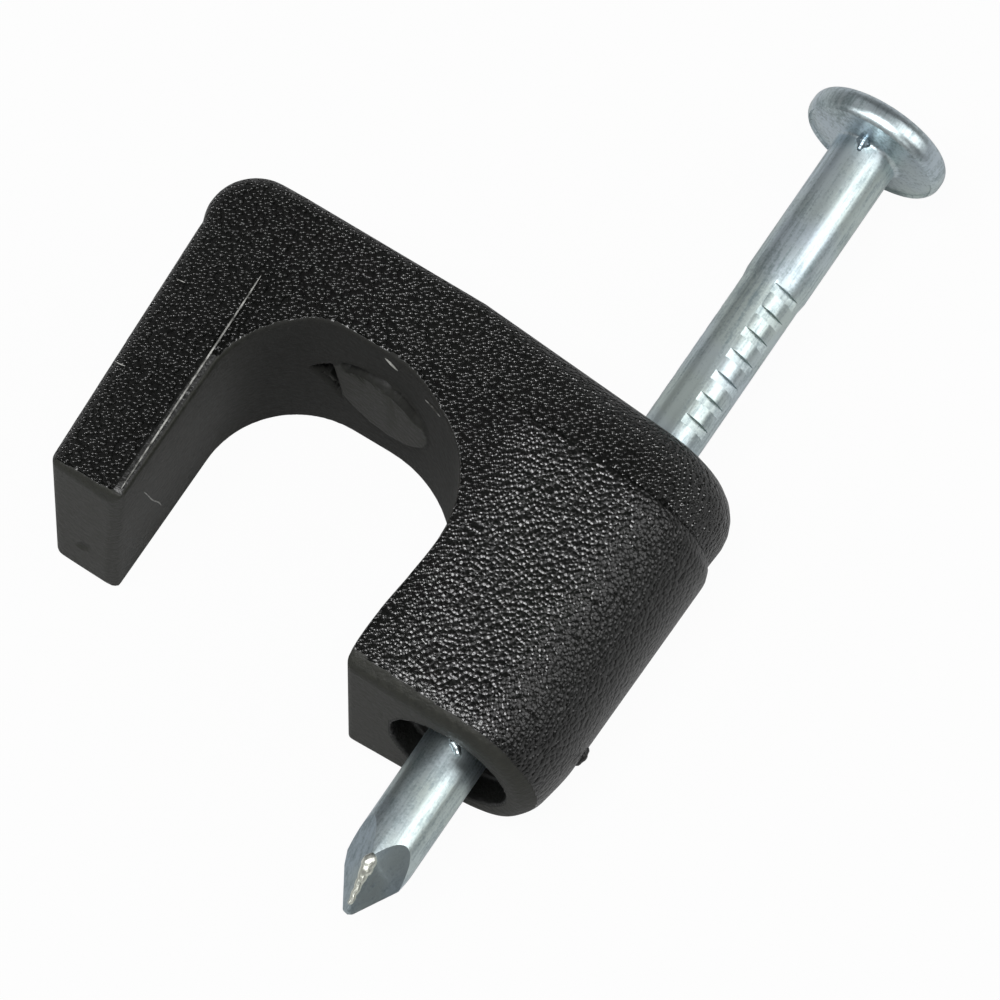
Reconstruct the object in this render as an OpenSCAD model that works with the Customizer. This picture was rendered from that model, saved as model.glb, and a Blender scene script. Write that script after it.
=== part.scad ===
// Nail-in clip for one round coaxial cable: a moulded hook-shaped body and the nail that it carries.
// X runs from the hook arm to the nail boss, Y along the nail from the wall to the head, Z along the cable.
// The wall face is Y = 0 and the nail axis is X = Z = 0. The part lies on its back, front face up.

/* [Cable channel] */
// Width of the cable channel
channel_w = 7.46; // [6.8:0.02:8]
// Height of the channel roof above the wall face
channel_h = 7.64; // [7.2:0.02:7.8]
// Radius of the roof on the side of the arm
roof_arm_r = 2.78; // [2.4:0.02:3]
// Radius of the roof on the side of the nail
roof_boss_r = 3.52; // [3:0.02:3.6]
// Rounding where the channel meets the front and back faces
channel_lip = 0.2; // [0.1:0.05:0.5]
// Diameter of the flat ejector pad in the roof
pad_d = 3.23; // [2.6:0.01:3.6]
// Distance of the middle of the pad below the crown of the roof
pad_drop = 0.18; // [0.05:0.01:0.3]
// Tilt of the pad, so that it sinks into the roof toward the arm
pad_tilt = 6; // [0:0.5:8]

/* [Clip body] */
// Height of the body from the wall face to its top
body_h = 10.32; // [10:0.02:11.5]
// Depth of the body along the cable
body_depth = 6.85; // [6.4:0.05:7.6]
// Thickness of the hook arm at the parting line
arm_t = 2.29; // [2:0.01:3]
// Setback of the arm tip from the wall face
arm_gap = 0.44; // [0:0.02:0.6]
// Amount by which the arm narrows in depth toward its outer face, each side
arm_wedge = 0.1; // [0:0.02:0.4]
// Height of the mould parting line above the wall face
parting_y = 8.28; // [8.1:0.02:8.8]
// Offset of the upper mould half toward the arm
parting_shift = 0.14; // [0:0.02:0.24]
// Rounding of the outer corner over the arm
shoulder_r = 1.4; // [0.8:0.1:1.6]

/* [Nail boss] */
// Diameter of the boss at the parting line
boss_d = 5.8; // [5.4:0.02:6.2]
// Plastic between the channel and the nail
web_t = 2.28; // [2:0.02:2.8]
// Rounding of the boss foot
foot_round = 0.65; // [0.3:0.05:0.7]
// Diameter of the recess round the nail at the wall face
recess_d = 3.54; // [3:0.02:4]
// Depth of that recess
recess_depth = 0.8; // [0.1:0.05:1.2]

/* [Nail] */
// Diameter of the shank
nail_d = 1.82; // [1.6:0.01:2]
// Radial clearance between the shank and its hole
nail_clear = 0.03; // [0.02:0.01:0.08]
// Length of the nail from the underside of the head to the tip
nail_len = 25.4; // [24:0.1:28]
// Length of the point that stands out of the wall face
tip_out = 4.93; // [4:0.01:6]
// Diameter of the head
head_d = 4.08; // [3.6:0.02:4.4]
// Thickness of the head
head_t = 0.86; // [0.7:0.02:1.1]
// Rise of the underside of the head from the shank out to the rim
head_rise = 0.12; // [0:0.02:0.2]
// Length of the four-sided point
point_len = 2.3; // [1.8:0.1:2.8]
// Length of plain shank between the head and the grip marks
plain_len = 4.72; // [4:0.02:6]
// Distance between the grip marks
mark_pitch = 0.73; // [0.6:0.01:0.8]

/* [Hidden] */
$fn = 64;
nail_r = nail_d / 2;
hole_r = nail_r + nail_clear;
half_depth = body_depth / 2;
boss_r = boss_d / 2;
channel_half = channel_w / 2;
channel_x = -(nail_r + web_t + channel_half);
arm_in_x = channel_x - channel_half;
arm_out_x = arm_in_x - arm_t;
arm_roof = min(roof_arm_r, channel_half - 0.1);
boss_roof = min(roof_boss_r, channel_half - 0.1);
pad_y = channel_h - pad_drop;
over = 1;
edge_r = 0.3;
draft_arm = 0.31;
draft_boss = 0.12;
draft_front = 0.05;
crease_x = arm_in_x - 0.35;
flat_end_x = channel_x + 1.5;
cap_draft = 0.01;
cap_inset = 0.06;
cap_swell = 0.55;
post_h = 0.2;
parting_bevel = 0.3;
leg_top_h = 0.1;
leg_top_shift = parting_shift - 0.04;
web_x = channel_x + channel_half - 0.2;
web_foot_in = 0.7;
web_foot_r = 2 * edge_r;
cap_round = 1.25;
gate_y = 1.95;
gate_r = 0.22;
gate_out = 0.04;
nick_depth = 0.4;
nick_front = 16;
nick_back = 40;
nick_reach = pad_d / 2 / cos(nick_back) + 0.02;
pad_root = 0.6;
inner_round = 0.25;
head_y = nail_len - tip_out;
head_off = 0.05;
head_rim = 0.36;
tip_off = 0.07;
tip_blunt = 0.03;
mark_top = head_y - plain_len;
mark_zone = 6.4;
mark_count = floor(mark_zone / mark_pitch);
mark_w = 0.28;
mark_depth = 0.12;
mark_front = 51;
mark_back = -167;
zone_r = nail_r - 0.04;
point_turn = -8;
point_cut = 10;

// Turns a shape that stands on Z so that it stands on the nail axis.
module along_nail(y) {
    translate([0, y, 0]) rotate([-90, 0, 0]) children();
}

// A short post on both sides of the middle plane, which carries one upright edge of the moulding.
module post_pair(x, z, y, r) {
    for (s = [-1, 1])
        translate([x, y, s * (z - r)]) rotate([-90, 0, 0]) cylinder(r = r, h = post_h, $fn = 32);
}

// A ball on both sides of the middle plane, which rounds one corner of the moulding.
module bead_pair(x, z, y, r) {
    for (s = [-1, 1])
        translate([x, y, s * (z - r)]) sphere(r = r, $fn = 24);
}

// A ring with a round section, which rounds one end of a round column.
module end_ring(x, z, y, r, round) {
    translate([x, 0, z]) along_nail(y) rotate_extrude() translate([r - round, 0]) circle(r = round, $fn = 24);
}

// A disc across the boss, with its axis at the given distance from the nail.
module boss_disc(x, y, h, inset = 0) {
    translate([x, 0, 0]) along_nail(y) cylinder(r = boss_r - inset, h = h);
}

// Everything below the parting line, before the channel is cut: boss, web and hook arm.
module leg_shell() {
    arm_tip_y = arm_gap + edge_r;
    post_y = parting_y - post_h;
    web_foot_z = half_depth - web_foot_in - web_foot_r;
    hull() {
        end_ring(0, 0, foot_round, boss_r - draft_boss, foot_round);
        boss_disc(0, parting_y - parting_bevel - post_h, post_h);
        boss_disc(-leg_top_shift, parting_y - leg_top_h, leg_top_h);
        for (s = [-1, 1])
            end_ring(web_x, s * web_foot_z, edge_r, web_foot_r, edge_r, $fn = 32);
        bead_pair(arm_out_x + draft_arm + edge_r, half_depth - arm_wedge - draft_front, arm_tip_y, edge_r);
        bead_pair(crease_x, half_depth - draft_front, arm_tip_y, edge_r);
        post_pair(arm_out_x + edge_r, half_depth - arm_wedge, post_y, edge_r);
        post_pair(crease_x, half_depth, post_y, edge_r);
        post_pair(flat_end_x, half_depth, post_y, edge_r);
    }
}

// The bar above the parting line, made in the other mould half and a little offset.
module cap_shell() {
    cap_out_x = arm_out_x - parting_shift;
    shoulder_z = half_depth - arm_wedge - edge_r;
    hull() {
        boss_disc(-parting_shift, parting_y, post_h, cap_inset);
        end_ring(-parting_shift, 0, body_h - cap_round, boss_r - cap_draft, cap_round);
        post_pair(arm_out_x + cap_inset + edge_r, half_depth - arm_wedge, parting_y, edge_r);
        bead_pair(cap_out_x + edge_r, half_depth - arm_wedge, parting_y + cap_swell, edge_r);
        post_pair(crease_x, half_depth, parting_y, edge_r);
        post_pair(flat_end_x, half_depth, parting_y, edge_r);
        for (s = [-1, 1])
            translate([cap_out_x + shoulder_r, body_h - shoulder_r, s * shoulder_z])
                rotate_extrude() translate([shoulder_r - edge_r, 0]) circle(r = edge_r, $fn = 24);
        bead_pair(crease_x, half_depth - draft_front, body_h - edge_r, edge_r);
        bead_pair(flat_end_x, half_depth - draft_front, body_h - edge_r, edge_r);
    }
}

// Half of the channel's section along the cable, out to its wall, with both lips rounded outward.
module channel_section(wall) {
    lip = wall + channel_lip;
    difference() {
        translate([0, -half_depth - over]) square([lip, body_depth + 2 * over]);
        for (s = [-1, 1])
            translate([lip, s * (half_depth - channel_lip)]) circle(r = channel_lip);
        translate([wall, -half_depth + channel_lip]) square([lip, body_depth - 2 * channel_lip]);
    }
}

// A quarter of the roof, with its axis at the given distance from the channel's middle plane.
module roof_quarter(x, r) {
    translate([x, channel_h - r, 0]) rotate_extrude(angle = 90) channel_section(r);
}

// The flat part of the roof, between the two shoulders.
module crown_space(from, to) {
    translate([from, 0, 0]) rotate([0, 90, 0]) linear_extrude(to - from)
        rotate(90) channel_section(channel_h);
}

// One straight side of the channel, from below the wall face up to the shoulder.
module side_space(top) {
    translate([0, top, 0]) rotate([90, 0, 0]) linear_extrude(top + over) channel_section(channel_half);
}

// The space for the cable: straight sides, two round shoulders and a short crown between them.
module channel_space() {
    boss_in = channel_half - boss_roof;
    arm_in = channel_half - arm_roof;
    translate([channel_x, 0, 0]) {
        roof_quarter(boss_in, boss_roof);
        side_space(channel_h - boss_roof);
        mirror([1, 0, 0]) roof_quarter(arm_in, arm_roof);
        mirror([1, 0, 0]) side_space(channel_h - arm_roof);
        crown_space(-arm_in, boss_in);
    }
}

// A column on the face of the ejector pin, over the given span from that face.
module pin_column(from, h) {
    translate([channel_x, pad_y, 0]) rotate([0, 0, -pad_tilt]) along_nail(from) cylinder(d = pad_d, h = h);
}

// A nick in the roof beside the pad, deepest at its corner toward the arm.
module roof_nick() {
    function on_pad(turn) = pad_d / 2 * [-cos(turn), sin(turn)];
    translate([channel_x, 0, 0]) along_nail(pad_y - over) linear_extrude(over + nick_depth)
        polygon([[-nick_reach, 0], on_pad(nick_back), on_pad(-nick_front)]);
}

// Rounds the edge of one channel wall at its open end, with the plastic on the given side.
module end_round(x, y, side) {
    translate([x + side * inner_round, y + inner_round, 0])
        linear_extrude(body_depth + 2 * over, center = true) difference() {
            translate([-inner_round, -2 * inner_round]) square(2 * inner_round);
            circle(r = inner_round);
            translate([side > 0 ? 0 : -2 * inner_round, -2 * inner_round]) square(2 * inner_round);
        }
}

// The trimmed stub that the mould gate leaves on the boss.
module gate_stub() {
    reach = boss_r - draft_boss + gate_out;
    translate([0, gate_y, 0]) rotate([0, 90, 0]) cylinder(r = gate_r, h = reach, $fn = 32);
}

module clip_body() {
    color([0.09, 0.09, 0.09]) difference() {
        union() {
            difference() {
                union() {
                    leg_shell();
                    cap_shell();
                    gate_stub();
                }
                channel_space();
                end_round(arm_in_x, arm_gap, -1);
                end_round(channel_x + channel_half, 0, 1);
                pin_column(-over, over);
            }
            pin_column(0, pad_root);
        }
        roof_nick();
        along_nail(-over) cylinder(r = hole_r, h = body_h + 2 * over);
        along_nail(-over) cylinder(d = recess_d, h = over + recess_depth);
    }
}

// The shank, from the tip to the underside of the head.
module shank() {
    along_nail(-tip_out) cylinder(r = nail_r, h = nail_len + head_t / 2);
}

// The head: rounded rim, slightly conical underside, struck a little off the shank's axis.
module head() {
    head_r = head_d / 2;
    translate([head_off, 0, 0]) along_nail(head_y) rotate_extrude() difference() {
        union() {
            square([head_r - head_rim, head_t]);
            translate([0, head_rim]) square([head_r, head_t - 2 * head_rim]);
            for (y = [head_rim, head_t - head_rim])
                translate([head_r - head_rim, y]) circle(r = head_rim, $fn = 32);
        }
        polygon([[nail_r, 0], [head_r, 0], [head_r, head_rise]]);
    }
}

// Four flats that meet at the tip, a little off the shank's axis.
module point_cuts() {
    slope = atan(nail_r / point_len);
    translate([tip_off, 0, 0]) for (k = [0 : 3])
        along_nail(-tip_out) rotate([0, 0, point_turn + 45 + 90 * k]) rotate([0, slope, 0])
            translate([tip_blunt, -point_cut / 2, -point_cut]) cube([point_cut, point_cut, 2 * point_cut]);
}

// One row of flat notches, pressed into the side of the shank that the given turn faces.
module notch_row(turn, top) {
    for (i = [0 : mark_count - 1])
        along_nail(top - mark_w - i * mark_pitch) rotate([0, 0, -turn])
            translate([zone_r - mark_depth, -nail_d, 0]) cube([nail_d, 2 * nail_d, mark_w]);
}

// The squeezed stretch of the shank and the notches of the two jaws that held the wire, half a pitch apart.
module grip_marks() {
    along_nail(mark_top - mark_zone) difference() {
        cylinder(r = nail_d, h = mark_zone);
        translate([0, 0, -over]) cylinder(r = zone_r, h = mark_zone + 2 * over);
    }
    notch_row(mark_front, mark_top);
    notch_row(mark_back, mark_top - mark_pitch / 2);
}

module nail() {
    color([0.66, 0.7, 0.73]) difference() {
        union() {
            shank();
            head();
        }
        point_cuts();
        grip_marks();
    }
}

clip_body();
nail();
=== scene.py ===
import bpy
import math
from mathutils import Matrix, Vector


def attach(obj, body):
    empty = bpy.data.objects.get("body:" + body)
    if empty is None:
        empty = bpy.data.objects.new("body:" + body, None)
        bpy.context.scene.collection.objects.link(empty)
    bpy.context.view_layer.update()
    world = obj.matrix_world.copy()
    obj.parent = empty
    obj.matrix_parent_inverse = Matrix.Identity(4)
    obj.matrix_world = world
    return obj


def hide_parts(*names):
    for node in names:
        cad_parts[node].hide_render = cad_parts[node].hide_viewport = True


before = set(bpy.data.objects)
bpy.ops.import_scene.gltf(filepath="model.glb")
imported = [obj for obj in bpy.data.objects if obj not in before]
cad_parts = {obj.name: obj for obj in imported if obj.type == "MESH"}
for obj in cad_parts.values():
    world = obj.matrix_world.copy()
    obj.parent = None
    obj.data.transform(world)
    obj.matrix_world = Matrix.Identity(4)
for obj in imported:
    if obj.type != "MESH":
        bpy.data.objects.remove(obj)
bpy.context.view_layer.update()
scene = bpy.context.scene
mm = 0.001
print("frame loaded", sorted(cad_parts))


def pick(piece):
    bpy.ops.object.select_all(action="DESELECT")
    piece.select_set(True)
    bpy.context.view_layer.objects.active = piece


def edit(piece):
    pick(piece)
    bpy.ops.object.mode_set(mode="EDIT")
    bpy.ops.mesh.select_all(action="SELECT")


def leaveEdit():
    bpy.ops.object.mode_set(mode="OBJECT")


def applyModifier(piece, kind, **settings):
    pick(piece)
    mod = piece.modifiers.new(kind.lower(), kind)
    for name, value in settings.items():
        setattr(mod, name, value)
    bpy.ops.object.modifier_apply(modifier=mod.name)


def settle(piece):  # pieces are modelled in millimetres, then brought to metres at the origin
    pick(piece)
    bpy.ops.object.transform_apply(location=True, rotation=True, scale=True)
    piece.scale = (mm, mm, mm)
    bpy.ops.object.transform_apply(location=True, rotation=True, scale=True)


# camera at the photograph's angle
shot = {
    "turn": 32.7377, "rise": 68.8622, "away": 430.662, "aimRight": 1.3731, "aimUp": 6.8328,
    "sensor": 36.0, "focalPixels": 16555.2, "framePixels": 1000.0,
}


def setCamera():
    a, e = math.radians(shot["turn"]), math.radians(shot["rise"])
    right = Vector((math.cos(a), math.sin(a), 0))
    up = Vector((-math.sin(a) * math.sin(e), math.cos(a) * math.sin(e), math.cos(e)))
    back = right.cross(up)
    place = back * shot["away"] * mm
    aim = (right * shot["aimRight"] + up * shot["aimUp"]) * mm
    back = (place - aim).normalized()
    right = (right - back * right.dot(back)).normalized()
    up = back.cross(right)
    data = bpy.data.cameras.new("photoCamera")
    data.sensor_width = shot["sensor"]
    data.lens = shot["sensor"] * shot["focalPixels"] / shot["framePixels"]
    data.clip_start = 0.01
    data.clip_end = 20
    camera = bpy.data.objects.new("photoCamera", data)
    camera.matrix_world = Matrix((
        (right.x, up.x, back.x, place.x),
        (right.y, up.y, back.y, place.y),
        (right.z, up.z, back.z, place.z),
        (0, 0, 0, 1),
    ))
    scene.collection.objects.link(camera)
    scene.camera = camera


setCamera()
scene.view_settings.view_transform = "Standard"
print("camera set")


# node helpers for the materials
def startMaterial(name):
    mat = bpy.data.materials.new(name)
    mat.use_nodes = True
    mat.node_tree.nodes.clear()
    out = mat.node_tree.nodes.new("ShaderNodeOutputMaterial")
    return mat, out


def addNode(mat, kind, **values):
    node = mat.node_tree.nodes.new(kind)
    for name, value in values.items():
        if name in node.inputs:
            node.inputs[name].default_value = value
        else:
            setattr(node, name, value)
    return node


def wire(mat, fromSocket, toSocket):
    mat.node_tree.links.new(fromSocket, toSocket)


def objectCoords(mat, stretch=(1, 1, 1)):
    coords = addNode(mat, "ShaderNodeTexCoord")
    mapping = addNode(mat, "ShaderNodeMapping")
    mapping.inputs["Scale"].default_value = stretch
    wire(mat, coords.outputs["Object"], mapping.inputs["Vector"])
    return mapping.outputs["Vector"]


def noiseField(mat, vector, scale, detail, roughness=0.5):
    node = addNode(mat, "ShaderNodeTexNoise", Scale=scale, Detail=detail, Roughness=roughness)
    wire(mat, vector, node.inputs["Vector"])
    return node.outputs["Fac"]


def maths(mat, operation, first, second, clamp=False):
    node = mat.node_tree.nodes.new("ShaderNodeMath")
    node.operation = operation
    node.use_clamp = clamp
    for socket, value in zip(node.inputs, (first, second)):
        if isinstance(value, (int, float)):
            socket.default_value = value
        else:
            wire(mat, value, socket)
    return node.outputs[0]


def ramp(mat, fac, stops):
    node = mat.node_tree.nodes.new("ShaderNodeValToRGB")
    while len(node.color_ramp.elements) < len(stops):
        node.color_ramp.elements.new(0.5)
    for element, (place, shade) in zip(node.color_ramp.elements, stops):
        element.position = place
        element.color = (*shade, 1) if isinstance(shade, tuple) else (shade, shade, shade, 1)
    wire(mat, fac, node.inputs["Fac"])
    return node.outputs["Color"]


def addBump(mat, height, shader):
    bump = addNode(mat, "ShaderNodeBump", Strength=1.0, Distance=1.0)
    wire(mat, height, bump.inputs["Height"])
    wire(mat, bump.outputs["Normal"], shader.inputs["Normal"])


def blendValues(mat, fac, low, high):
    node = mat.node_tree.nodes.new("ShaderNodeMix")
    for socket, value in zip((node.inputs[0], node.inputs[2], node.inputs[3]), (fac, low, high)):
        if isinstance(value, (int, float)):
            socket.default_value = value
        else:
            wire(mat, value, socket)
    return node.outputs[0]


def blendColours(mat, fac, low, high):
    node = mat.node_tree.nodes.new("ShaderNodeMix")
    node.data_type = "RGBA"
    for socket, value in zip((node.inputs[0], node.inputs[6], node.inputs[7]), (fac, low, high)):
        wire(mat, value, socket)
    return node.outputs[2]


# black polyethylene, spark-eroded outside and smooth where the mould was polished; its base colour also
# carries painted light and shade, picked by the grain share
plasticLook = {
    "specular": 0.55,
    "cellScale": 7600.0, "cellHeight": 0.00016, "cellPower": 2.0,
    "waveScale": 9000.0, "waveDetail": 1.0, "waveHeight": 0.000012,
    "mottleScale": 6000.0, "mottleDetail": 3.0, "mottleRough": 0.6, "mottleHeight": 0.00003,
    "cloudScale": 600.0, "cloudDetail": 3.0, "cloudRough": 0.55,
    "reliefPower": 2.0,  # the relief follows the grain share by this power
    "shades": ((0.3, (0.001, 0.0012, 0.0009)), (0.7, (0.0024, 0.0027, 0.0021))),
    # the polished faces' lighter olive is partly the plastic's own tint and partly painted light, standing
    # for the floor light these faces catch
    "smoothLitShades": ((0.3, (0.006, 0.0066, 0.004)), (0.7, (0.014, 0.0148, 0.0098))),
    "shadeGain": 6.0,  # the colour turns black well before the grain is full
    "roughness": ((0.0, 0.6), (0.1, 0.85), (0.2, 0.42), (0.3, 0.27), (1.0, 0.2)),  # by grain share
    "roughSwing": 0.4, "roughFloor": 0.8,
}


def plasticMaterial():
    look = plasticLook
    mat, out = startMaterial("blackPolyethylene")
    place = objectCoords(mat)
    mask = addNode(mat, "ShaderNodeAttribute", attribute_name="grainAndShadeMask").outputs["Fac"]
    shader = addNode(mat, "ShaderNodeBsdfPrincipled")
    shader.inputs["Specular IOR Level"].default_value = look["specular"]
    cells = addNode(mat, "ShaderNodeTexVoronoi", feature="F1", Scale=look["cellScale"], Randomness=1.0)
    wire(mat, place, cells.inputs["Vector"])
    rounded = maths(mat, "POWER", cells.outputs["Distance"], look["cellPower"])
    domes = maths(mat, "MULTIPLY", rounded, -look["cellHeight"])
    swell = noiseField(mat, place, look["waveScale"], look["waveDetail"])
    waves = maths(mat, "MULTIPLY", swell, look["waveHeight"])
    mottle = noiseField(mat, place, look["mottleScale"], look["mottleDetail"], look["mottleRough"])
    cloud = noiseField(mat, place, look["cloudScale"], look["cloudDetail"], look["cloudRough"])
    relief = maths(mat, "POWER", mask, look["reliefPower"])
    fine = maths(mat, "MULTIPLY", mottle, look["mottleHeight"])
    addBump(mat, blendValues(mat, relief, fine, maths(mat, "ADD", domes, waves)), shader)
    uneven = maths(mat, "ADD", maths(mat, "MULTIPLY", mottle, look["roughSwing"]), look["roughFloor"])
    rough = maths(mat, "MULTIPLY", ramp(mat, mask, look["roughness"]), uneven)
    wire(mat, rough, shader.inputs["Roughness"])
    # colour by grain share: grained faces take the moulded black, polished faces a lighter olive that is
    # partly painted light, and the channel roof, nick, gap and recess are darkened toward black as painted
    # shade
    moulded = ramp(mat, cloud, look["shades"])
    polishedAndLit = ramp(mat, mottle, look["smoothLitShades"])
    outside = maths(mat, "MULTIPLY", mask, look["shadeGain"], True)
    wire(mat, blendColours(mat, outside, polishedAndLit, moulded), shader.inputs["Base Color"])
    wire(mat, shader.outputs[0], out.inputs["Surface"])
    return mat


# whitened polyethylene of scuffs and burrs, and of the seam beside the channel, where the whitish colour is
# a painted highlight on its ridge
scuffAndHighlightLook = {
    "shades": ((0.36, (0.04, 0.04, 0.036)), (0.62, (0.36, 0.36, 0.34))),
    "scale": 2600.0, "detail": 3.0, "noiseRough": 0.6, "roughness": 0.45,
}


def scuffAndHighlightMaterial():
    look = scuffAndHighlightLook
    mat, out = startMaterial("scuffedAndHighlitPolyethylene")
    shader = addNode(mat, "ShaderNodeBsdfPrincipled", Roughness=look["roughness"])
    patches = noiseField(mat, objectCoords(mat), look["scale"], look["detail"], look["noiseRough"])
    wire(mat, ramp(mat, patches, look["shades"]), shader.inputs["Base Color"])
    wire(mat, shader.outputs[0], out.inputs["Surface"])
    return mat


# bright zinc plate with drawing streaks along the wire, and the tints of its burr, cuts and pinch
zincLook = {
    "blue": (0.62, 0.71, 0.77), "green": (0.62, 0.71, 0.69), "dull": (0.33, 0.41, 0.43),
    "tintScale": 420.0, "tintDetail": 2.0, "tintStops": (0.38, 0.6),
    "streak": (9000.0, 650.0, 9000.0), "streakDetail": 3.0, "streakShare": 0.6,
    "patchScale": 900.0, "patchDetail": 4.0, "patchShare": 0.4,
    "pitScale": 14000.0, "pitDetail": 2.0, "pitMiddle": 0.5, "pitShare": 0.35, "pitHeight": 0.000003,
    "noiseRough": 0.6, "cleanStops": (0.34, 0.54), "roughness": (0.28, 0.46),
}
burrLook = {"blue": (0.88, 0.9, 0.86), "green": (0.86, 0.88, 0.78), "dull": (0.42, 0.46, 0.42)}
cutLook = {"blue": (0.42, 0.5, 0.56), "green": (0.42, 0.49, 0.5), "dull": (0.25, 0.31, 0.34)}
pinchLook = {"blue": (0.3, 0.38, 0.44), "green": (0.24, 0.3, 0.32), "dull": (0.1, 0.13, 0.15)}


def zincMaterial(name, tints):
    look = zincLook
    mat, out = startMaterial(name)
    shader = addNode(mat, "ShaderNodeBsdfPrincipled", Metallic=1.0)
    drawn = objectCoords(mat, look["streak"])
    place = objectCoords(mat)
    streaks = noiseField(mat, drawn, 1.0, look["streakDetail"], look["noiseRough"])
    patches = noiseField(mat, place, look["patchScale"], look["patchDetail"], look["noiseRough"])
    pits = noiseField(mat, place, look["pitScale"], look["pitDetail"], look["noiseRough"])
    drift = noiseField(mat, place, look["tintScale"], look["tintDetail"])
    tint = ramp(mat, drift, tuple(zip(look["tintStops"], (tints["blue"], tints["green"]))))
    worn = maths(mat, "ADD", maths(mat, "MULTIPLY", streaks, look["streakShare"]),
                 maths(mat, "MULTIPLY", patches, look["patchShare"]))
    specks = maths(mat, "MULTIPLY", maths(mat, "SUBTRACT", pits, look["pitMiddle"]), look["pitShare"])
    clean = ramp(mat, maths(mat, "ADD", worn, specks), tuple(zip(look["cleanStops"], (0.0, 1.0))))
    dull = addNode(mat, "ShaderNodeRGB")
    dull.outputs[0].default_value = (*tints["dull"], 1)
    smooth, rough = look["roughness"]
    wire(mat, blendColours(mat, clean, dull.outputs[0], tint), shader.inputs["Base Color"])
    wire(mat, blendValues(mat, worn, rough, smooth), shader.inputs["Roughness"])
    addBump(mat, maths(mat, "MULTIPLY", maths(mat, "ADD", streaks, pits), look["pitHeight"]), shader)
    wire(mat, shader.outputs[0], out.inputs["Surface"])
    return mat


# the moulded body: a merged, evenly meshed and softened copy of the CAD solid
bodyShape = {
    "weld": 0.000002, "voxel": 0.06, "softening": 2, "softFactor": 0.5, "keep": 0.4,
    "middle": -6.92, "half": 3.73, "roof": 7.64, "armRound": 2.78, "webRound": 3.52,  # channel
    "span": (-3.6, 3.6), "parting": 8.28, "recess": 1.83, "recessDepth": 0.86,
}
# the channel runs a little across the body: its front end lies nearer the nail
skew = {"shift": 0.26, "aside": (0.45, 0.8), "depth": (0.25, 1.1), "webRise": (0.9, 4.2)}
# gap and three-cornered nick beside the ejector pad
padShape = {
    "radius": 1.615, "around": 2.6, "low": 7.0, "high": 8.2, "facing": -0.2,
    "gapRadius": 1.46, "gapEdge": (0.08, 0.18), "gapFront": (0.55, 1.0), "gapSide": (-8.3, -7.9),
    "gapDeep": 0.42,
    "nick": ((-9.05, 0.16), (-8.5, 0.6), (-8.22, -1.3)), "nickEdge": 0.05, "nickDeep": 0.45,
}
# the boss narrows toward its foot
foot = {"top": 1.8, "inward": 0.2, "side": (1.2, 2.6), "ring": (1.95, 2.65)}
# dent in the arm tip
dent = {"x": -11.6, "z": -1.35, "wide": 0.3, "tall": 0.34, "lean": 0.9, "edge": (0.3, 1.0), "deep": 0.08,
        "top": 0.6, "side": -10.9}


def makeBody():
    shape = bodyShape
    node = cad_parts["clip_body"]
    body = bpy.data.objects.new("clipMoulding", node.data.copy())
    scene.collection.objects.link(body)
    body.data.materials.clear()
    edit(body)
    bpy.ops.mesh.remove_doubles(threshold=shape["weld"])
    leaveEdit()
    body.scale = (1000, 1000, 1000)
    pick(body)
    bpy.ops.object.transform_apply(location=False, rotation=False, scale=True)
    applyModifier(body, "REMESH", mode="VOXEL", voxel_size=shape["voxel"], adaptivity=0.0)
    applyModifier(body, "SMOOTH", factor=shape["softFactor"], iterations=shape["softening"])
    shapeDetails(body)
    skewChannel(body)
    applyModifier(body, "DECIMATE", decimate_type="COLLAPSE", ratio=shape["keep"])
    markGrainAndShade(body)
    settle(body)
    bpy.ops.object.shade_smooth()
    body.data.materials.append(plasticMaterial())
    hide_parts("clip_body")
    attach(body, "clip")
    print("body", len(body.data.vertices), "points")


def ease(value, low, high):
    k = min(1.0, max(0.0, (value - low) / (high - low)))
    return k * k * (3 - 2 * k)


def intoPlastic(x, y):  # distance from the channel wall, positive inside the plastic
    shape = bodyShape
    armX = shape["middle"] - shape["half"] + shape["armRound"]
    webX = shape["middle"] + shape["half"] - shape["webRound"]
    if x < armX:
        springY = shape["roof"] - shape["armRound"]
        return (armX - x if y < springY else math.hypot(x - armX, y - springY)) - shape["armRound"]
    if x > webX:
        springY = shape["roof"] - shape["webRound"]
        return (x - webX if y < springY else math.hypot(x - webX, y - springY)) - shape["webRound"]
    return y - shape["roof"]


def skewChannel(body):
    shape = bodyShape
    for vert in body.data.vertices:
        x, y, z = vert.co
        aside = (x - shape["middle"]) / shape["half"]
        nearWall = 1 - ease(intoPlastic(x, y), *skew["depth"])
        share = ease(abs(aside), *skew["aside"]) * nearWall * ease(z, *shape["span"])
        if aside > 0:
            share *= ease(y, *skew["webRise"])
        vert.co.x = x + skew["shift"] * share


def inNick(x, z):  # 1 inside the nick, 0 outside
    corners = padShape["nick"]
    edge = padShape["nickEdge"]
    inside = 1.0
    for (ax, az), (bx, bz) in zip(corners, corners[1:] + corners[:1]):
        off = ((bz - az) * (x - ax) - (bx - ax) * (z - az)) / math.hypot(bx - ax, bz - az)
        inside = min(inside, ease(off, -edge, edge))
    return inside


def inGap(x, z, fromPad):  # 1 in the gap round the front of the pad, 0 outside
    ring = 1 - ease(abs(fromPad - padShape["gapRadius"]), *padShape["gapEdge"])
    return ring * ease(z, *padShape["gapFront"]) * ease(x, *padShape["gapSide"])


def inDent(x, z):  # 1 at the bottom of the dent, 0 outside
    acrossX = x - dent["x"]
    acrossZ = z - dent["z"] - dent["lean"] * acrossX
    return 1 - ease(math.hypot(acrossX / dent["wide"], acrossZ / dent["tall"]), *dent["edge"])


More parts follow.
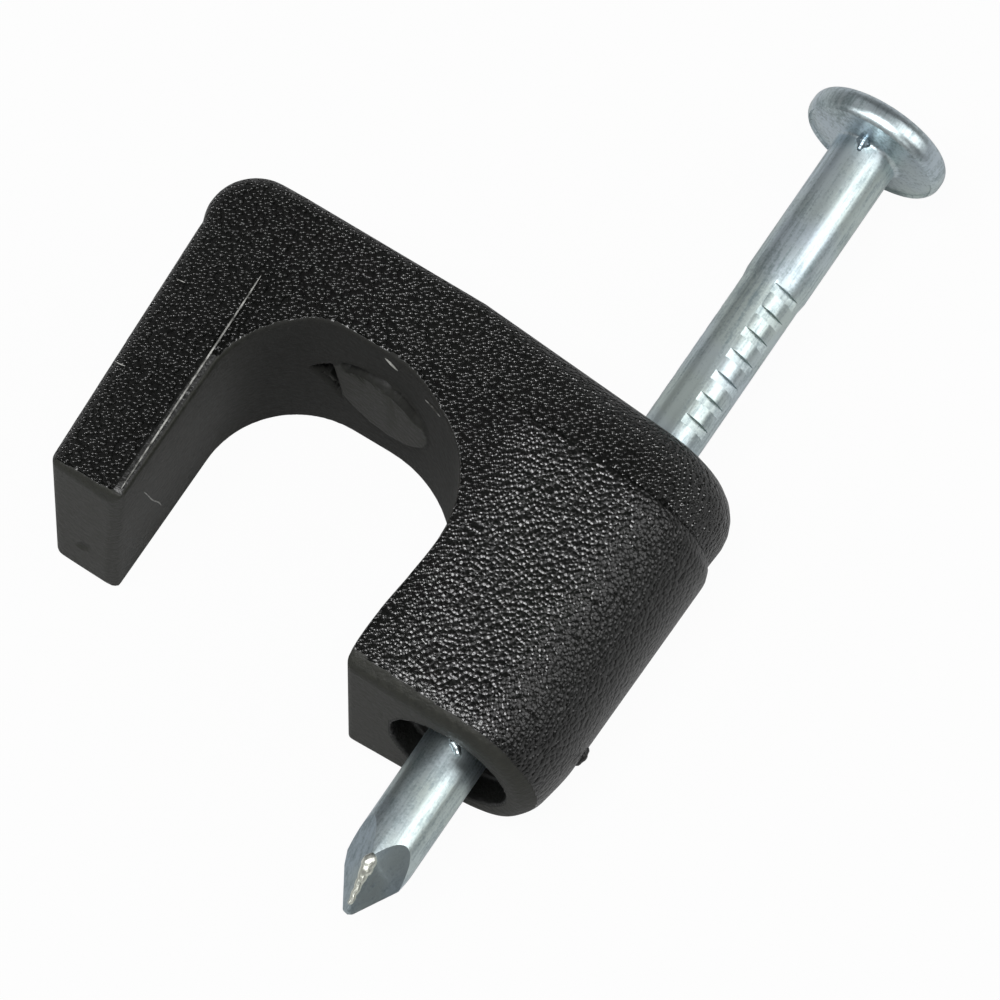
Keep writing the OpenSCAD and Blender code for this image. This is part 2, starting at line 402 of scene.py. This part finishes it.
def shapeDetails(body):
    pad = padShape
    facing = [vert.normal.y for vert in body.data.vertices]
    for vert, ny in zip(body.data.vertices, facing):
        x, y, z = vert.co
        fromPad = math.hypot(x - bodyShape["middle"], z)
        if pad["low"] < y < pad["high"] and fromPad < pad["around"] and ny < pad["facing"]:
            vert.co.y = y + max(pad["gapDeep"] * inGap(x, z, fromPad), pad["nickDeep"] * inNick(x, z))
        if y < foot["top"] and x > foot["side"][0]:
            share = (1 - ease(y, 0.0, foot["top"])) * ease(x, *foot["side"])
            vert.co.x = x - foot["inward"] * share * ease(math.hypot(x, z), *foot["ring"])
        if y < dent["top"] and x < dent["side"]:
            vert.co.y = y + dent["deep"] * inDent(x, z)


# share of grain by place: 1 is spark-eroded all over, the last three are smooth. The share also sets the
# colour: polished faces take a lighter olive that is partly painted light, and black and dull paint shade
# in the nick, gap, recess and channel roof
grainAndShadeShares = {
    "full": 1.0, "black": 0.2, "dull": 0.1, "polishedAndLit": 0.0,
    "webDrop": 0.15, "webFrom": (-10.5, -8.0), "bossDrop": 0.37, "bossFrom": (-3.6, -1.6),
    "armLip": 0.36, "armLipTop": 5.2, "armLipFacing": 0.5,
    "footLip": (0.12, 0.45), "footFacing": 0.1, "wallTop": 1.2, "wallFacing": -0.5,
    "channelLip": 0.25, "channelFacing": 0.9, "channelDullAndShade": (5.0, 7.0),
    "padLow": 6.9, "padHigh": 8.6, "padAround": 0.9, "padFacing": 0.999,
    "padIn": 0.04, "padTop": 7.62, "padDown": -0.9, "nickFloor": 7.75,
}


def markGrainAndShade(body):
    shape, g = bodyShape, grainAndShadeShares
    marks = body.data.attributes.new("grainAndShadeMask", "FLOAT", "POINT")
    for vert, mark in zip(body.data.vertices, marks.data):
        x, y, z = vert.co
        ny, nz = vert.normal.y, vert.normal.z
        depth = intoPlastic(x - skew["shift"] * ease(z, *shape["span"]), y)
        fromPad = math.hypot(x - shape["middle"], z)
        grain = g["full"] - g["webDrop"] * ease(x, *g["webFrom"])
        if y < shape["parting"]:
            grain -= g["bossDrop"] * ease(x, *g["bossFrom"])
        if depth < g["armLip"] and x < shape["middle"] and y < g["armLipTop"] and nz > g["armLipFacing"]:
            grain = g["black"]
        if y < g["footLip"][1] and nz > g["footFacing"]:
            grain = g["black"] + (grain - g["black"]) * ease(y, *g["footLip"])
        # the wall face is polished: its lighter olive is partly painted light
        if ny < g["wallFacing"] and y < g["wallTop"]:
            grain = g["polishedAndLit"]
        # the channel walls turn dull toward the roof, and their darker colour there is painted shade
        if depth < g["channelLip"] and abs(nz) < g["channelFacing"]:
            grain = g["dull"] * ease(y, *g["channelDullAndShade"])
        nearPad = g["padLow"] < y < g["padHigh"] and fromPad < padShape["radius"] + g["padAround"]
        if nearPad and abs(nz) < g["padFacing"]:
            # the pad is polished, lighter and partly painted light; the gap and nick floors deeper than
            # nickFloor are painted black as shade, and the roof round the pad is dull, darker as painted
            # shade
            onPad = fromPad < padShape["radius"] - g["padIn"] and ny < g["padDown"] and y < g["padTop"]
            grain = g["polishedAndLit"] if onPad else g["black"] if y > g["nickFloor"] else g["dull"]
        # the recess round the nail is painted black: painted shade in the hollow
        if math.hypot(x, z) < shape["recess"] and y < shape["recessDepth"]:
            grain = g["black"]
        mark.value = grain


# the nail: turned profile, flats of the point, squeezed stretch with grip notches
nailShape = {
    "sides": 128, "weld": 0.0001, "shank": 0.91, "plainRings": (-2.0, 3.0), "upperRing": 18.0,
    "tip": -4.93, "tipShift": 0.07, "pointLength": 2.3, "pointTurn": -8.0, "blunt": 0.09, "bulge": 0.08,
    "tipBand": 0.002, "tipSoft": 0.7, "tipSteps": 3, "cutReach": 1.1, "cutFacing": -0.15,
    "zoneRadius": 0.87, "zoneLow": 9.35, "zoneHigh": 15.75, "zoneOut": 0.25, "zoneIn": 0.05,
    "notchPitch": 0.73, "notchCount": 8, "notchWide": 0.28, "notchDeep": 0.12, "notchTurns": (-51.0, 167.0),
    "headLow": 20.47, "headHigh": 21.33, "headRadius": 2.04, "headShift": 0.05,
    "rimRound": 0.36, "rimLow": (-40, 1, 8), "rimHigh": (0, 91, 10),
    "fillet": 0.1, "filletRise": 0.11, "filletSteps": 8,
    "coneRise": 0.12, "lipIn": 0.13, "lipWide": 0.04, "lipRise": 0.03, "lipDrop": 0.04,
    "edgeSoft": 0.018, "edgeSteps": 3, "edgeAngle": 28.0, "smoothAngle": 14.0,
}


def nailProfile():  # rings of radius, height and sideways shift, from the tip up
    s = nailShape
    shank, zone, shift = s["shank"], s["zoneRadius"], s["headShift"]
    rings = [(shank, s["tip"], 0)]
    rings += [(shank, height, 0) for height in s["plainRings"]]
    rings += [(shank, s["zoneLow"] - s["zoneOut"], 0), (zone, s["zoneLow"] + s["zoneIn"], 0)]
    rings += [(zone, s["zoneHigh"] - s["zoneIn"], 0), (shank, s["zoneHigh"] + s["zoneOut"], 0)]
    rings += [(shank, s["upperRing"], 0), (shank, s["headLow"] - s["fillet"], 0)]
    for k in range(1, s["filletSteps"] + 1):
        t = math.radians(90 * k / s["filletSteps"])
        radius = shank + s["fillet"] * (1 - math.cos(t))
        height = s["headLow"] - s["fillet"] + s["filletRise"] * math.sin(t)
        rings.append((radius, height, shift * k / s["filletSteps"]))
    lipRadius = s["headRadius"] - s["lipIn"]
    under = s["headLow"] + s["coneRise"]
    rings.append((lipRadius - s["lipWide"], under + s["lipRise"], shift))
    rings.append((lipRadius, under - s["lipDrop"], shift))
    inner = s["headRadius"] - s["rimRound"]
    low, high = s["headLow"] + s["rimRound"], s["headHigh"] - s["rimRound"]
    for angles, middle in ((s["rimLow"], low), (s["rimHigh"], high)):
        for angle in range(*angles):
            t = math.radians(angle)
            rings.append((inner + s["rimRound"] * math.cos(t), middle + s["rimRound"] * math.sin(t), shift))
    return rings


def pointRadius(height):  # half width of the four-sided point above its tip
    s = nailShape
    mid, reach = s["pointLength"] / 2, s["bulge"] + (s["shank"] + s["blunt"]) / 2
    if height < mid:
        return s["blunt"] + (reach - s["blunt"]) * height / mid
    return reach + (s["shank"] - reach) * (height - mid) / mid


def turnedPiece(name, rings, sides, weld):
    bpy.ops.object.select_all(action="DESELECT")
    radius, height, shift = rings[0]
    bpy.ops.mesh.primitive_circle_add(vertices=sides, radius=radius, fill_type="NGON",
                                      location=(shift, 0, height))
    piece = bpy.context.active_object
    piece.name = name
    bpy.ops.object.transform_apply(location=True, rotation=True, scale=True)
    edit(piece)
    for before, after in zip(rings, rings[1:]):
        move = (after[2] - before[2], 0, after[1] - before[1])
        bpy.ops.mesh.extrude_region_move(TRANSFORM_OT_translate={"value": move})
        grow = after[0] / before[0]
        bpy.ops.transform.resize(value=(grow, grow, 1), center_override=(after[2], 0, after[1]))
    bpy.ops.mesh.select_all(action="SELECT")
    bpy.ops.mesh.remove_doubles(threshold=weld)
    bpy.ops.mesh.normals_make_consistent(inside=False)
    leaveEdit()
    return piece


def makeNail():
    s = nailShape
    nail = turnedPiece("zincNail", nailProfile(), s["sides"], s["weld"])
    half = s["pointLength"] / 2
    for low in (half, 0):  # four slightly convex flats, each cut in two steps
        slope = math.atan((pointRadius(low + half) - pointRadius(low)) / half)
        for k in range(4):
            turn = math.radians(s["pointTurn"] + 45 + 90 * k)
            out = Vector((math.cos(turn), math.sin(turn), 0))
            spot = Vector((s["tipShift"], 0, s["tip"] + low)) + out * pointRadius(low)
            edit(nail)
            across = out * math.cos(slope) - Vector((0, 0, math.sin(slope)))
            bpy.ops.mesh.bisect(plane_co=spot, plane_no=across, use_fill=True, clear_outer=True)
            leaveEdit()
    roundTip(nail)
    for row, turn in enumerate(s["notchTurns"]):  # the two jaws of the wire grip, half a pitch apart
        cutNotches(nail, turn, s["zoneHigh"] - row * s["notchPitch"] / 2)
    applyModifier(nail, "BEVEL", width=s["edgeSoft"], segments=s["edgeSteps"], limit_method="ANGLE",
                  angle_limit=math.radians(s["edgeAngle"]))
    for face in nail.data.polygons:  # the cut flats are duller than the drawn wire
        nearTip = face.center.z < s["tip"] + s["cutReach"] * s["pointLength"]
        if nearTip and face.normal.z < s["cutFacing"]:
            face.material_index = 1
    nail.rotation_euler = (-math.pi / 2, 0, 0)
    settle(nail)
    bpy.ops.object.shade_smooth_by_angle(angle=math.radians(s["smoothAngle"]))
    nail.data.materials.append(zincMaterial("zincPlate", zincLook))
    nail.data.materials.append(zincMaterial("zincCut", cutLook))
    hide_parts("nail")
    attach(nail, "nail")
    print("nail", len(nail.data.vertices), "points")


def roundTip(nail):
    s = nailShape
    edit(nail)
    bpy.ops.mesh.select_all(action="DESELECT")
    leaveEdit()
    for face in nail.data.polygons:
        heights = [nail.data.vertices[v].co.z for v in face.vertices]
        face.select = max(heights) < s["tip"] + s["tipBand"]
    bpy.ops.object.mode_set(mode="EDIT")
    bpy.ops.mesh.bevel(offset=s["blunt"] * s["tipSoft"], segments=s["tipSteps"], affect="EDGES")
    leaveEdit()


def cutNotches(nail, turn, top):
    s = nailShape
    bpy.ops.object.select_all(action="DESELECT")
    wide = 2 * s["shank"]
    reach = s["zoneRadius"] - s["notchDeep"] + wide / 2
    bpy.ops.mesh.primitive_cube_add(size=1, location=(reach, 0, top - s["notchWide"] / 2))
    cutter = bpy.context.active_object
    cutter.scale = (wide, 2 * wide, s["notchWide"])
    bpy.ops.object.transform_apply(location=True, rotation=True, scale=True)
    cutter.rotation_euler = (0, 0, math.radians(turn))
    bpy.ops.object.transform_apply(location=True, rotation=True, scale=True)
    applyModifier(cutter, "ARRAY", count=s["notchCount"], use_relative_offset=False,
                  use_constant_offset=True, constant_offset_displace=(0, 0, -s["notchPitch"]))
    applyModifier(nail, "BOOLEAN", operation="DIFFERENCE", solver="EXACT", object=cutter)
    bpy.data.objects.remove(cutter)


# thin marks of moulding and handling: seam beside the channel, burrs of the roof edge, hair, scratches; the
# seam's whitish colour is a painted highlight
threadShape = {"sides": 8, "endWidth": 0.35, "levels": 2}
threadMarks = {
    "armSeam": {"thick": 0.03, "path": (
        (-10.53, 0.67, 3.4), (-10.55, 1.4, 3.41), (-10.58, 2.5, 3.41), (-10.61, 3.6, 3.42),
        (-10.65, 4.8, 3.42), (-10.68, 5.9, 3.42), (-10.72, 7.1, 3.42), (-10.75, 7.9, 3.41))},
    "roofBurrLeft": {"thick": 0.035, "path": (
        (-6.85, 7.63, 3.1), (-6.7, 7.62, 3.0), (-6.55, 7.61, 2.9), (-6.4, 7.6, 2.8))},
    "roofBurrRight": {"thick": 0.028, "path": (
        (-5.45, 7.38, 2.6), (-5.2, 7.27, 2.77), (-4.95, 7.14, 2.94), (-4.71, 7.0, 3.1))},
    "armHair": {"thick": 0.022, "path": (
        (-10.44, 1.6, 1.5), (-10.48, 1.85, 0.7), (-10.53, 2.1, -0.3), (-10.57, 2.45, -1.1),
        (-10.6, 2.6, -1.8))},
    "armScratchHigh": {"thick": 0.02, "path": (
        (-12.6, 6.49, 3.31), (-12.45, 6.5, 3.32), (-12.3, 6.52, 3.33))},
    "armScratchLow": {"thick": 0.02, "path": (
        (-12.66, 3.68, 3.31), (-12.5, 3.66, 3.33), (-12.33, 3.7, 3.34))},
}


def threadPiece(name, mark, material):
    points = [Vector(point) for point in mark["path"]]
    widths = [threadShape["endWidth"]] + [1.0] * (len(points) - 2) + [threadShape["endWidth"]]
    lead = (points[-1] - points[0]).to_track_quat("Z", "Y").to_euler()
    bpy.ops.object.select_all(action="DESELECT")
    bpy.ops.mesh.primitive_circle_add(vertices=threadShape["sides"], radius=mark["thick"] * widths[0],
                                      fill_type="NGON", location=points[0], rotation=lead)
    piece = bpy.context.active_object
    piece.name = name
    bpy.ops.object.transform_apply(location=True, rotation=True, scale=True)
    edit(piece)
    for k in range(1, len(points)):
        move = tuple(points[k] - points[k - 1])
        bpy.ops.mesh.extrude_region_move(TRANSFORM_OT_translate={"value": move})
        grow = widths[k] / widths[k - 1]
        bpy.ops.transform.resize(value=(grow, grow, grow), center_override=tuple(points[k]))
    bpy.ops.mesh.select_all(action="SELECT")
    bpy.ops.mesh.normals_make_consistent(inside=False)
    leaveEdit()
    applyModifier(piece, "SUBSURF", levels=threadShape["levels"], render_levels=threadShape["levels"])
    settle(piece)
    bpy.ops.object.shade_smooth()
    piece.data.materials.append(material)
    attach(piece, "clip")


# lumps: burr on the point, flake at the recess, pinch under the head, gate nub on the boss
lumpShape = {"detail": 2, "softFactor": 0.5}
lumpMarks = {
    "pointBurr": {"grain": 0.026, "soft": 4, "body": "nail", "slot": "nail", "spots": ()},
    "recessFlake": {"grain": 0.04, "soft": 1, "body": "nail", "slot": "nail", "spots": (
        (-0.06, 0.34, 0.88, 0.12), (0.04, 0.26, 0.9, 0.14), (0.15, 0.2, 0.88, 0.14),
        (0.26, 0.1, 0.84, 0.11))},
    "headPinch": {"grain": 0.05, "soft": 0, "body": "nail", "slot": "nail", "spots": (
        (-0.07, 20.42, 0.93, 0.16), (-0.06, 20.3, 0.92, 0.12), (-0.05, 20.16, 0.9, 0.08),
        (-0.18, 20.38, 0.9, 0.1), (0.06, 20.38, 0.92, 0.1))},
    "gateNub": {"grain": 0.04, "soft": 2, "body": "clip", "slot": "clip_body", "spots": (
        (2.7, 2.38, -0.5, 0.16), (2.7, 2.22, -0.52, 0.2), (2.68, 2.06, -0.54, 0.17))},
}
burrShape = {
    "top": 1.42, "long": 1.18, "sunk": 0.45, "sway": 0.015, "swayTurn": 1.15,
    "widths": (0.1, 0.14, 0.18, 0.21, 0.2, 0.18, 0.18, 0.19, 0.17, 0.15, 0.14, 0.14, 0.13, 0.12,
               0.12, 0.11, 0.11, 0.1, 0.1, 0.1, 0.09, 0.09, 0.09, 0.08, 0.08, 0.08),
}


def burrSpots():  # lumps along the front ridge of the point, from the top down
    s, burr = nailShape, burrShape
    turn = math.radians(s["pointTurn"] - 90)
    last = len(burr["widths"]) - 1
    spots = []
    for k, width in enumerate(burr["widths"]):
        height = burr["top"] - burr["long"] * k / last
        ridge = min(s["shank"], pointRadius(height) * math.sqrt(2)) - burr["sunk"] * width
        sway = burr["sway"] * math.sin(burr["swayTurn"] * k)
        x = s["tipShift"] + ridge * math.cos(turn) + sway
        spots.append((x, s["tip"] + height, -ridge * math.sin(turn), width))
    return spots


def lumpPiece(name, mark, material):
    lumps = []
    for x, y, z, radius in mark["spots"] or burrSpots():
        bpy.ops.object.select_all(action="DESELECT")
        bpy.ops.mesh.primitive_ico_sphere_add(subdivisions=lumpShape["detail"], radius=radius,
                                              location=(x, y, z))
        lumps.append(bpy.context.active_object)
    for lump in lumps:
        lump.select_set(True)
    bpy.ops.object.join()
    piece = bpy.context.active_object
    piece.name = name
    bpy.ops.object.transform_apply(location=True, rotation=True, scale=True)
    applyModifier(piece, "REMESH", mode="VOXEL", voxel_size=mark["grain"], adaptivity=0.0)
    applyModifier(piece, "SMOOTH", factor=lumpShape["softFactor"], iterations=mark["soft"])
    settle(piece)
    if mark["soft"]:
        bpy.ops.object.shade_smooth()
    if mark["slot"] == "clip_body":
        shares = piece.data.attributes.new("grainAndShadeMask", "FLOAT", "POINT")
        for share in shares.data:
            share.value = grainAndShadeShares["black"]
    piece.data.materials.append(material)
    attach(piece, mark["body"])


def makeMarks():
    scuffedAndHighlit = scuffAndHighlightMaterial()
    for name, mark in threadMarks.items():
        threadPiece(name, mark, scuffedAndHighlit)
    finishes = {
        "pointBurr": zincMaterial("zincBurr", burrLook), "headPinch": zincMaterial("zincPinch", pinchLook),
        "recessFlake": bpy.data.materials["zincPlate"], "gateNub": bpy.data.materials["blackPolyethylene"],
    }
    for name, mark in lumpMarks.items():
        lumpPiece(name, mark, finishes[name])
    print("marks", len(threadMarks) + len(lumpMarks))


# floor, world and lamps
stageLook = {"size": 0.5, "level": -3.44, "albedo": 0.42, "cameraWhite": 0.96, "glossWhite": 0.02}
worldLook = ((0.0, 0.21), (0.3, 0.2), (0.62, 0.08), (0.95, 0.015))  # height of the sky, shade
worldSideDrop = 0.65  # the right side of the room is darker
lampCentre = (-0.004, 0.006, 0)
lamps = {
    "rightHigh": {"aim": (0.69, 0.34, 0.66), "away": 0.4, "wide": 0.31, "tall": 0.2, "watts": 0.5},
    "rightLow": {"aim": (0.56, -0.62, 0.55), "away": 0.4, "wide": 0.1, "tall": 0.1, "watts": 0.08},
    "leftLow": {"aim": (-0.51, -0.50, 0.72), "away": 0.4, "wide": 0.1, "tall": 0.1, "watts": 0.2},
    "leftSoft": {"aim": (-0.62, 0.34, 0.7), "away": 0.4, "wide": 0.26, "tall": 0.16, "watts": 0.05},
    "frontKey": {"aim": (0.04, -0.26, 0.95), "away": 0.6, "wide": 0.3, "tall": 0.2, "watts": 3.7},
}


def makeFloor():
    look = stageLook
    bpy.ops.object.select_all(action="DESELECT")
    bpy.ops.mesh.primitive_plane_add(size=look["size"], location=(0, 0, look["level"] * mm))
    floor = bpy.context.active_object
    floor.name = "floor"
    bpy.ops.object.transform_apply(location=True, rotation=True, scale=True)
    mat, out = startMaterial("paleFloor")
    paint = addNode(mat, "ShaderNodeBsdfDiffuse", Color=(look["albedo"],) * 3 + (1,))
    glow = addNode(mat, "ShaderNodeEmission", Strength=1.0)
    path = addNode(mat, "ShaderNodeLightPath")
    straight = maths(mat, "MAXIMUM", path.outputs["Is Camera Ray"], path.outputs["Is Transmission Ray"])
    seen = maths(mat, "MAXIMUM", maths(mat, "MULTIPLY", straight, look["cameraWhite"]),
                 maths(mat, "MULTIPLY", path.outputs["Is Glossy Ray"], look["glossWhite"]))
    mix = addNode(mat, "ShaderNodeMixShader")
    wire(mat, seen, mix.inputs[0])
    wire(mat, paint.outputs[0], mix.inputs[1])
    wire(mat, glow.outputs[0], mix.inputs[2])
    wire(mat, mix.outputs[0], out.inputs["Surface"])
    floor.data.materials.append(mat)


def setLights():
    world = bpy.data.worlds.new("studio")
    scene.world = world
    world.use_nodes = True
    tree = world.node_tree
    tree.nodes.clear()
    out = tree.nodes.new("ShaderNodeOutputWorld")
    back = tree.nodes.new("ShaderNodeBackground")
    coords = tree.nodes.new("ShaderNodeTexCoord")
    split = tree.nodes.new("ShaderNodeSeparateXYZ")
    shade = tree.nodes.new("ShaderNodeValToRGB")
    while len(shade.color_ramp.elements) < len(worldLook):
        shade.color_ramp.elements.new(0.5)
    for element, (place, level) in zip(shade.color_ramp.elements, worldLook):
        element.position = place
        element.color = (level, level, level, 1)
    tree.links.new(coords.outputs["Generated"], split.inputs[0])
    tree.links.new(split.outputs["Z"], shade.inputs["Fac"])
    tree.links.new(shade.outputs["Color"], back.inputs["Color"])
    drop = tree.nodes.new("ShaderNodeMapRange")
    drop.inputs["To Min"].default_value = 1.0
    drop.inputs["To Max"].default_value = 1.0 - worldSideDrop
    tree.links.new(split.outputs["X"], drop.inputs["Value"])
    tree.links.new(drop.outputs["Result"], back.inputs["Strength"])
    tree.links.new(back.outputs[0], out.inputs["Surface"])
    for name, lamp in lamps.items():
        data = bpy.data.lights.new(name, "AREA")
        data.shape = "RECTANGLE"
        data.size, data.size_y = lamp["wide"], lamp["tall"]
        data.energy = lamp["watts"]
        light = bpy.data.objects.new(name, data)
        aim = Vector(lamp["aim"]).normalized()
        side = Vector((0, 1, 0)).cross(aim).normalized()
        up = aim.cross(side)
        spot = aim * lamp["away"] + Vector(lampCentre)
        light.matrix_world = Matrix((
            (side.x, up.x, aim.x, spot.x),
            (side.y, up.y, aim.y, spot.y),
            (side.z, up.z, aim.z, spot.z),
            (0, 0, 0, 1),
        ))
        scene.collection.objects.link(light)


makeBody()
makeNail()
makeMarks()
makeFloor()
setLights()
print("stage and lights set")
